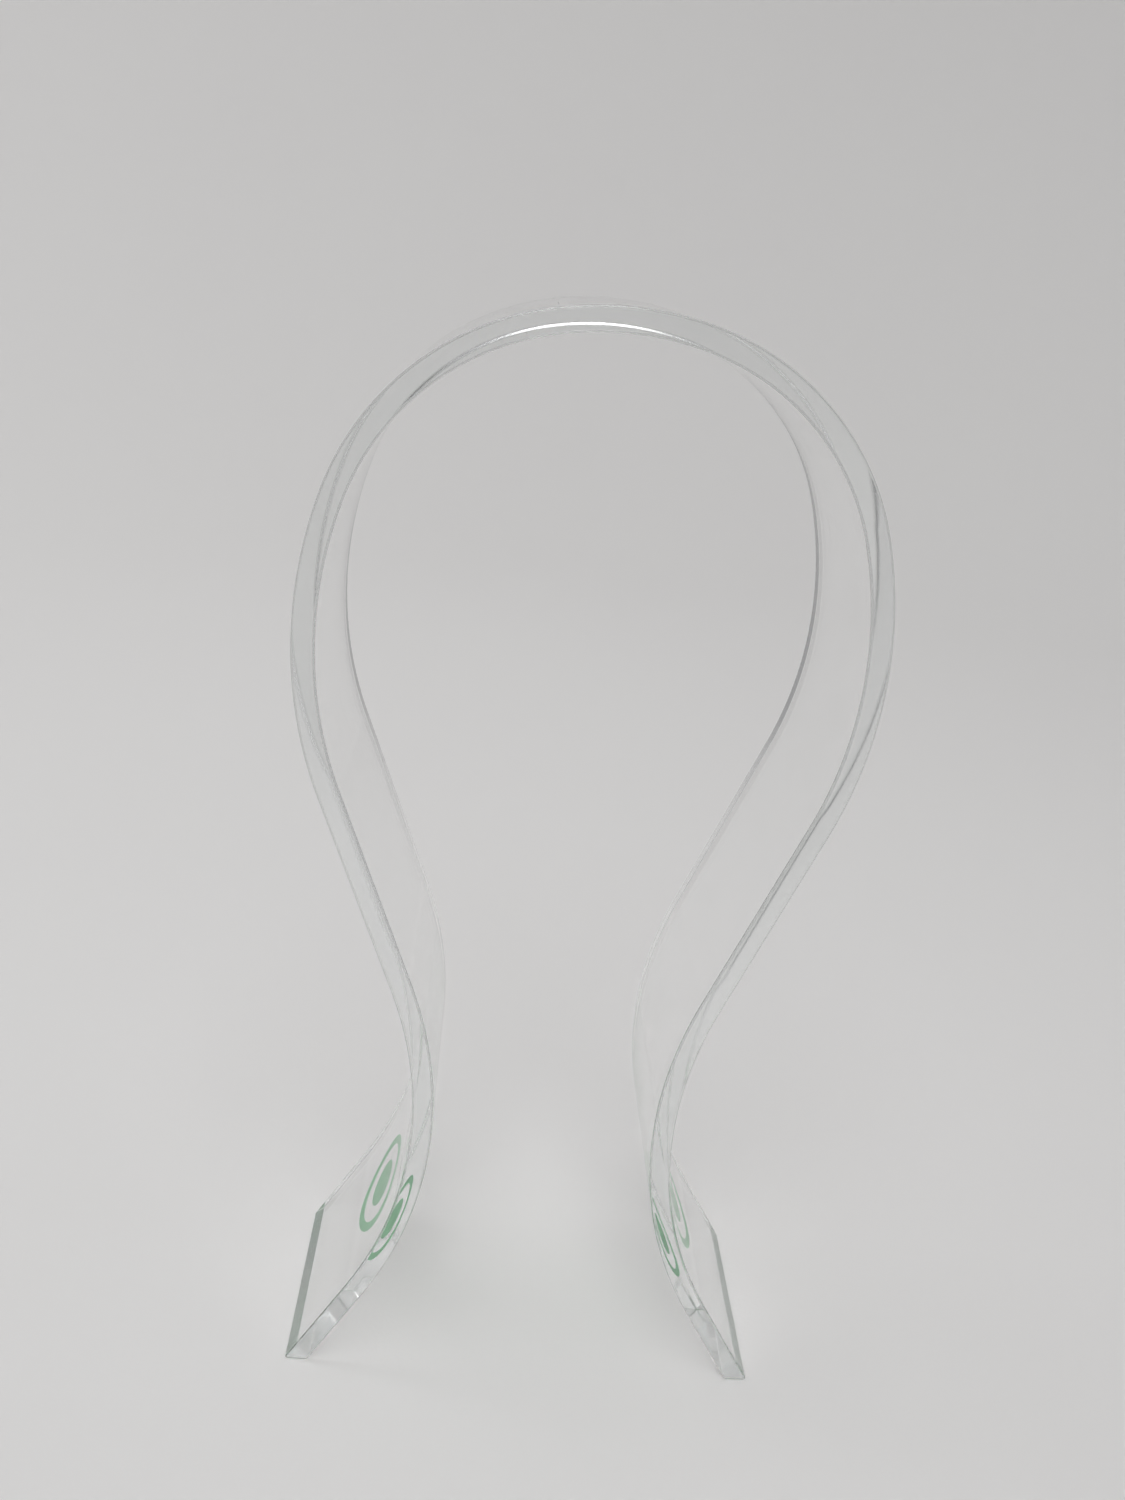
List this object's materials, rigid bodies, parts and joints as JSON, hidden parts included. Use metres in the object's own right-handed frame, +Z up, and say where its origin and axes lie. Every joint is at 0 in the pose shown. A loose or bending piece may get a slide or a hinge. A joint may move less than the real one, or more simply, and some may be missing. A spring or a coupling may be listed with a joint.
{
  "type": "headphone stand",
  "caption": "Clear acrylic strip bent into an open loop on two flared legs, to hang a headband over and stand on its two cut ends.",
  "frame": {"origin": "on the floor plane, midway between the two feet and midway between the strip's front and back edges", "axes": "+Z up, +Y to the back, across the strip's width, +X to the viewer's right"},
  "size_m": [0.1178, 0.051, 0.248],
  "materials": {
    "clear_acrylic": "polished",
    "green_film": "satin"
  },
  "bodies": {
    "root": {"bent_strip": "clear_acrylic", "left_mark": "green_film", "right_mark": "green_film"}
  },
  "joints": []
}
